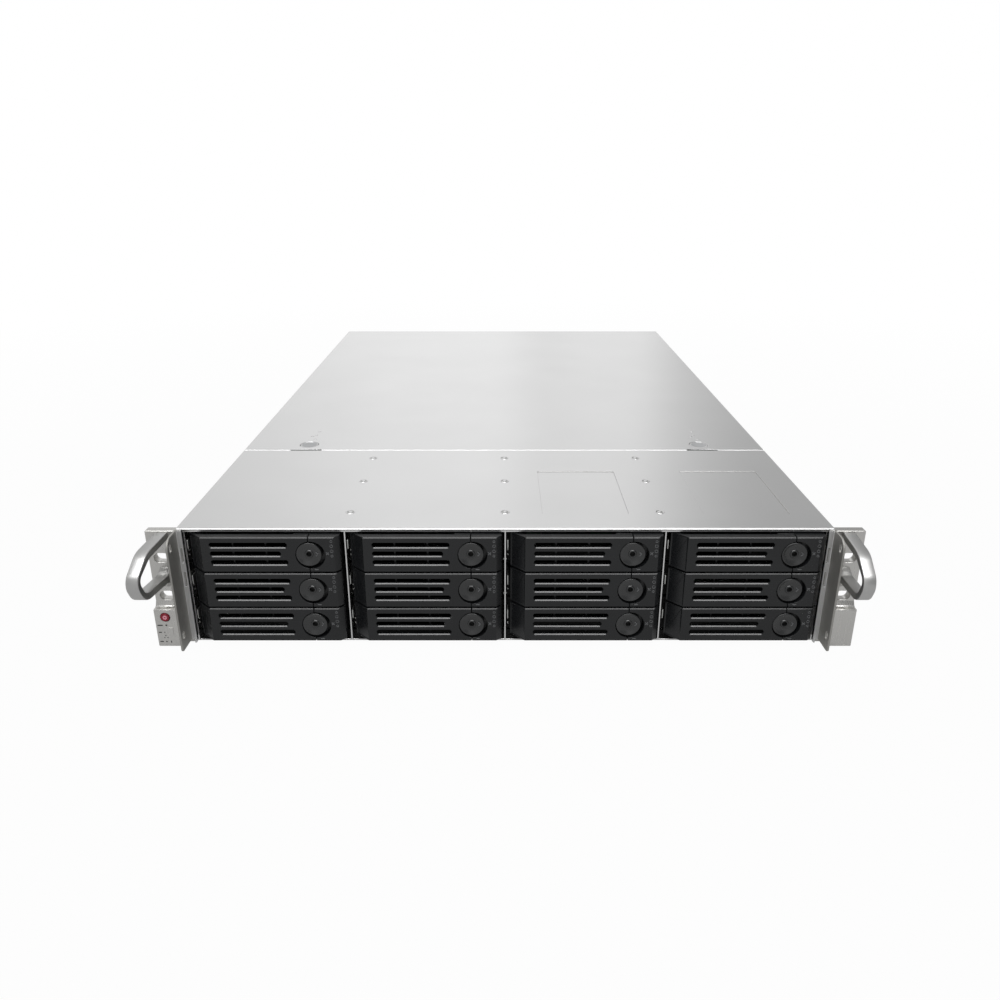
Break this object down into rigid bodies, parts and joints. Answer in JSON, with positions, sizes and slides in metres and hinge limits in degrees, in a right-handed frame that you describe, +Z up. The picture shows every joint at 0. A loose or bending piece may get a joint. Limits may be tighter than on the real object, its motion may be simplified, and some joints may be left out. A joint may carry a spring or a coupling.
{
  "type": "rackmount storage expansion unit",
  "caption": "Two-unit rack chassis with hot-swap drive trays at the front, a slide-off rear cover, rack ears with handles, and fans and redundant power supplies at the rear.",
  "frame": {"origin": "on the underside of the floor, midway across, at the front edge of the chassis", "axes": "+X to the right seen from the front, +Y to the rear, +Z up"},
  "size_m": [0.4826, 0.768, 0.0883],
  "materials": {
    "zinc_sheet": "satin",
    "tray_plastic": "moulded matte",
    "lever_plastic": "moulded satin",
    "button_plastic": "semi-gloss",
    "ear_metal": "satin",
    "handle_metal": "satin",
    "bracket_steel": "satin",
    "red_button": "gloss",
    "rivet_steel": "satin",
    "latch_plastic": "satin",
    "circuit_board": "solder mask",
    "fan_plastic": "moulded matte",
    "psu_steel": "satin",
    "catch_plastic": "moulded satin"
  },
  "bodies": {
    "chassis": {"chassis_base": "zinc_sheet", "front_cover": "zinc_sheet", "drive_cage": "zinc_sheet", "backplane": "circuit_board", "fan_wall": "fan_plastic", "rear_panel": "zinc_sheet", "expander_board": "circuit_board", "right_ear": "ear_metal", "left_ear": "ear_metal", "right_handle": "handle_metal", "left_handle": "handle_metal", "bezel_brackets": "bracket_steel", "fasteners": "rivet_steel"},
    "top_cover": {"rear_cover": "zinc_sheet"},
    "latch_left": {"cover_latch_left": "latch_plastic"},
    "latch_right": {"cover_latch_right": "latch_plastic"},
    "power_key": {"power_button": "red_button"},
    "tray_01": {"drive_tray_01": "tray_plastic"},
    "lever_01": {"tray_lever_01": "lever_plastic"},
    "button_01": {"release_button_01": "button_plastic"},
    "tray_02": {"drive_tray_02": "tray_plastic"},
    "lever_02": {"tray_lever_02": "lever_plastic"},
    "button_02": {"release_button_02": "button_plastic"},
    "tray_03": {"drive_tray_03": "tray_plastic"},
    "lever_03": {"tray_lever_03": "lever_plastic"},
    "button_03": {"release_button_03": "button_plastic"},
    "tray_04": {"drive_tray_04": "tray_plastic"},
    "lever_04": {"tray_lever_04": "lever_plastic"},
    "button_04": {"release_button_04": "button_plastic"},
    "tray_05": {"drive_tray_05": "tray_plastic"},
    "lever_05": {"tray_lever_05": "lever_plastic"},
    "button_05": {"release_button_05": "button_plastic"},
    "tray_06": {"drive_tray_06": "tray_plastic"},
    "lever_06": {"tray_lever_06": "lever_plastic"},
    "button_06": {"release_button_06": "button_plastic"},
    "tray_07": {"drive_tray_07": "tray_plastic"},
    "lever_07": {"tray_lever_07": "lever_plastic"},
    "button_07": {"release_button_07": "button_plastic"},
    "tray_08": {"drive_tray_08": "tray_plastic"},
    "lever_08": {"tray_lever_08": "lever_plastic"},
    "button_08": {"release_button_08": "button_plastic"},
    "tray_09": {"drive_tray_09": "tray_plastic"},
    "lever_09": {"tray_lever_09": "lever_plastic"},
    "button_09": {"release_button_09": "button_plastic"},
    "tray_10": {"drive_tray_10": "tray_plastic"},
    "lever_10": {"tray_lever_10": "lever_plastic"},
    "button_10": {"release_button_10": "button_plastic"},
    "tray_11": {"drive_tray_11": "tray_plastic"},
    "lever_11": {"tray_lever_11": "lever_plastic"},
    "button_11": {"release_button_11": "button_plastic"},
    "tray_12": {"drive_tray_12": "tray_plastic"},
    "lever_12": {"tray_lever_12": "lever_plastic"},
    "button_12": {"release_button_12": "button_plastic"},
    "fan_1": {"fan_rotor_1": "fan_plastic"},
    "fan_2": {"fan_rotor_2": "fan_plastic"},
    "fan_3": {"fan_rotor_3": "fan_plastic"},
    "power_supply_1": {"psu_1": "psu_steel"},
    "supply_catch_1": {"psu_latch_1": "catch_plastic"},
    "power_supply_2": {"psu_2": "psu_steel"},
    "supply_catch_2": {"psu_latch_2": "catch_plastic"}
  },
  "joints": [
    {"name": "cover_slide", "type": "slide", "parent": "chassis", "child": "top_cover", "axis": [0, 1, 0], "range_m": [0, 0.013]},
    {"name": "latch_left_press", "type": "slide", "parent": "top_cover", "child": "latch_left", "axis": [0, 0, -1], "range_m": [0, 0.002], "stiffness_N_per_m": 500},
    {"name": "latch_right_press", "type": "slide", "parent": "top_cover", "child": "latch_right", "axis": [0, 0, -1], "range_m": [0, 0.002], "stiffness_N_per_m": 500},
    {"name": "power_press", "type": "slide", "parent": "chassis", "child": "power_key", "axis": [0, 1, 0], "range_m": [0, 0.0012], "stiffness_N_per_m": 500},
    {"name": "tray_slide_01", "type": "slide", "parent": "chassis", "child": "tray_01", "axis": [0, -1, 0], "range_m": [0, 0.145]},
    {"name": "lever_swing_01", "type": "hinge", "parent": "tray_01", "child": "lever_01", "pos_m": [-0.2065, 0.004, 0.07195], "axis": [0, 0, -1], "range_deg": [0, 60]},
    {"name": "button_press_01", "type": "slide", "parent": "tray_01", "child": "button_01", "axis": [0, 1, 0], "range_m": [0, 0.0025], "stiffness_N_per_m": 400},
    {"name": "tray_slide_02", "type": "slide", "parent": "chassis", "child": "tray_02", "axis": [0, -1, 0], "range_m": [0, 0.145]},
    {"name": "lever_swing_02", "type": "hinge", "parent": "tray_02", "child": "lever_02", "pos_m": [-0.0985, 0.004, 0.07195], "axis": [0, 0, -1], "range_deg": [0, 60]},
    {"name": "button_press_02", "type": "slide", "parent": "tray_02", "child": "button_02", "axis": [0, 1, 0], "range_m": [0, 0.0025], "stiffness_N_per_m": 400},
    {"name": "tray_slide_03", "type": "slide", "parent": "chassis", "child": "tray_03", "axis": [0, -1, 0], "range_m": [0, 0.145]},
    {"name": "lever_swing_03", "type": "hinge", "parent": "tray_03", "child": "lever_03", "pos_m": [0.0095, 0.004, 0.07195], "axis": [0, 0, -1], "range_deg": [0, 60]},
    {"name": "button_press_03", "type": "slide", "parent": "tray_03", "child": "button_03", "axis": [0, 1, 0], "range_m": [0, 0.0025], "stiffness_N_per_m": 400},
    {"name": "tray_slide_04", "type": "slide", "parent": "chassis", "child": "tray_04", "axis": [0, -1, 0], "range_m": [0, 0.145]},
    {"name": "lever_swing_04", "type": "hinge", "parent": "tray_04", "child": "lever_04", "pos_m": [0.1175, 0.004, 0.07195], "axis": [0, 0, -1], "range_deg": [0, 60]},
    {"name": "button_press_04", "type": "slide", "parent": "tray_04", "child": "button_04", "axis": [0, 1, 0], "range_m": [0, 0.0025], "stiffness_N_per_m": 400},
    {"name": "tray_slide_05", "type": "slide", "parent": "chassis", "child": "tray_05", "axis": [0, -1, 0], "range_m": [0, 0.145]},
    {"name": "lever_swing_05", "type": "hinge", "parent": "tray_05", "child": "lever_05", "pos_m": [-0.2065, 0.004, 0.0453], "axis": [0, 0, -1], "range_deg": [0, 60]},
    {"name": "button_press_05", "type": "slide", "parent": "tray_05", "child": "button_05", "axis": [0, 1, 0], "range_m": [0, 0.0025], "stiffness_N_per_m": 400},
    {"name": "tray_slide_06", "type": "slide", "parent": "chassis", "child": "tray_06", "axis": [0, -1, 0], "range_m": [0, 0.145]},
    {"name": "lever_swing_06", "type": "hinge", "parent": "tray_06", "child": "lever_06", "pos_m": [-0.0985, 0.004, 0.0453], "axis": [0, 0, -1], "range_deg": [0, 60]},
    {"name": "button_press_06", "type": "slide", "parent": "tray_06", "child": "button_06", "axis": [0, 1, 0], "range_m": [0, 0.0025], "stiffness_N_per_m": 400},
    {"name": "tray_slide_07", "type": "slide", "parent": "chassis", "child": "tray_07", "axis": [0, -1, 0], "range_m": [0, 0.145]},
    {"name": "lever_swing_07", "type": "hinge", "parent": "tray_07", "child": "lever_07", "pos_m": [0.0095, 0.004, 0.0453], "axis": [0, 0, -1], "range_deg": [0, 60]},
    {"name": "button_press_07", "type": "slide", "parent": "tray_07", "child": "button_07", "axis": [0, 1, 0], "range_m": [0, 0.0025], "stiffness_N_per_m": 400},
    {"name": "tray_slide_08", "type": "slide", "parent": "chassis", "child": "tray_08", "axis": [0, -1, 0], "range_m": [0, 0.145]},
    {"name": "lever_swing_08", "type": "hinge", "parent": "tray_08", "child": "lever_08", "pos_m": [0.1175, 0.004, 0.0453], "axis": [0, 0, -1], "range_deg": [0, 60]},
    {"name": "button_press_08", "type": "slide", "parent": "tray_08", "child": "button_08", "axis": [0, 1, 0], "range_m": [0, 0.0025], "stiffness_N_per_m": 400},
    {"name": "tray_slide_09", "type": "slide", "parent": "chassis", "child": "tray_09", "axis": [0, -1, 0], "range_m": [0, 0.145]},
    {"name": "lever_swing_09", "type": "hinge", "parent": "tray_09", "child": "lever_09", "pos_m": [-0.2065, 0.004, 0.01865], "axis": [0, 0, -1], "range_deg": [0, 60]},
    {"name": "button_press_09", "type": "slide", "parent": "tray_09", "child": "button_09", "axis": [0, 1, 0], "range_m": [0, 0.0025], "stiffness_N_per_m": 400},
    {"name": "tray_slide_10", "type": "slide", "parent": "chassis", "child": "tray_10", "axis": [0, -1, 0], "range_m": [0, 0.145]},
    {"name": "lever_swing_10", "type": "hinge", "parent": "tray_10", "child": "lever_10", "pos_m": [-0.0985, 0.004, 0.01865], "axis": [0, 0, -1], "range_deg": [0, 60]},
    {"name": "button_press_10", "type": "slide", "parent": "tray_10", "child": "button_10", "axis": [0, 1, 0], "range_m": [0, 0.0025], "stiffness_N_per_m": 400},
    {"name": "tray_slide_11", "type": "slide", "parent": "chassis", "child": "tray_11", "axis": [0, -1, 0], "range_m": [0, 0.145]},
    {"name": "lever_swing_11", "type": "hinge", "parent": "tray_11", "child": "lever_11", "pos_m": [0.0095, 0.004, 0.01865], "axis": [0, 0, -1], "range_deg": [0, 60]},
    {"name": "button_press_11", "type": "slide", "parent": "tray_11", "child": "button_11", "axis": [0, 1, 0], "range_m": [0, 0.0025], "stiffness_N_per_m": 400},
    {"name": "tray_slide_12", "type": "slide", "parent": "chassis", "child": "tray_12", "axis": [0, -1, 0], "range_m": [0, 0.145]},
    {"name": "lever_swing_12", "type": "hinge", "parent": "tray_12", "child": "lever_12", "pos_m": [0.1175, 0.004, 0.01865], "axis": [0, 0, -1], "range_deg": [0, 60]},
    {"name": "button_press_12", "type": "slide", "parent": "tray_12", "child": "button_12", "axis": [0, 1, 0], "range_m": [0, 0.0025], "stiffness_N_per_m": 400},
    {"name": "fan_spin_1", "type": "hinge", "parent": "chassis", "child": "fan_1", "pos_m": [-0.13, 0.2295, 0.0415], "axis": [0, 1, 0], "continuous": true},
    {"name": "fan_spin_2", "type": "hinge", "parent": "chassis", "child": "fan_2", "pos_m": [0, 0.2295, 0.0415], "axis": [0, 1, 0], "continuous": true},
    {"name": "fan_spin_3", "type": "hinge", "parent": "chassis", "child": "fan_3", "pos_m": [0.13, 0.2295, 0.0415], "axis": [0, 1, 0], "continuous": true},
    {"name": "supply_slide_1", "type": "slide", "parent": "chassis", "child": "power_supply_1", "axis": [0, 1, 0], "range_m": [0, 0.17]},
    {"name": "supply_catch_press_1", "type": "slide", "parent": "power_supply_1", "child": "supply_catch_1", "axis": [-1, 0, 0], "range_m": [0, 0.0018], "stiffness_N_per_m": 400},
    {"name": "supply_slide_2", "type": "slide", "parent": "chassis", "child": "power_supply_2", "axis": [0, 1, 0], "range_m": [0, 0.17]},
    {"name": "supply_catch_press_2", "type": "slide", "parent": "power_supply_2", "child": "supply_catch_2", "axis": [-1, 0, 0], "range_m": [0, 0.0018], "stiffness_N_per_m": 400}
  ]
}
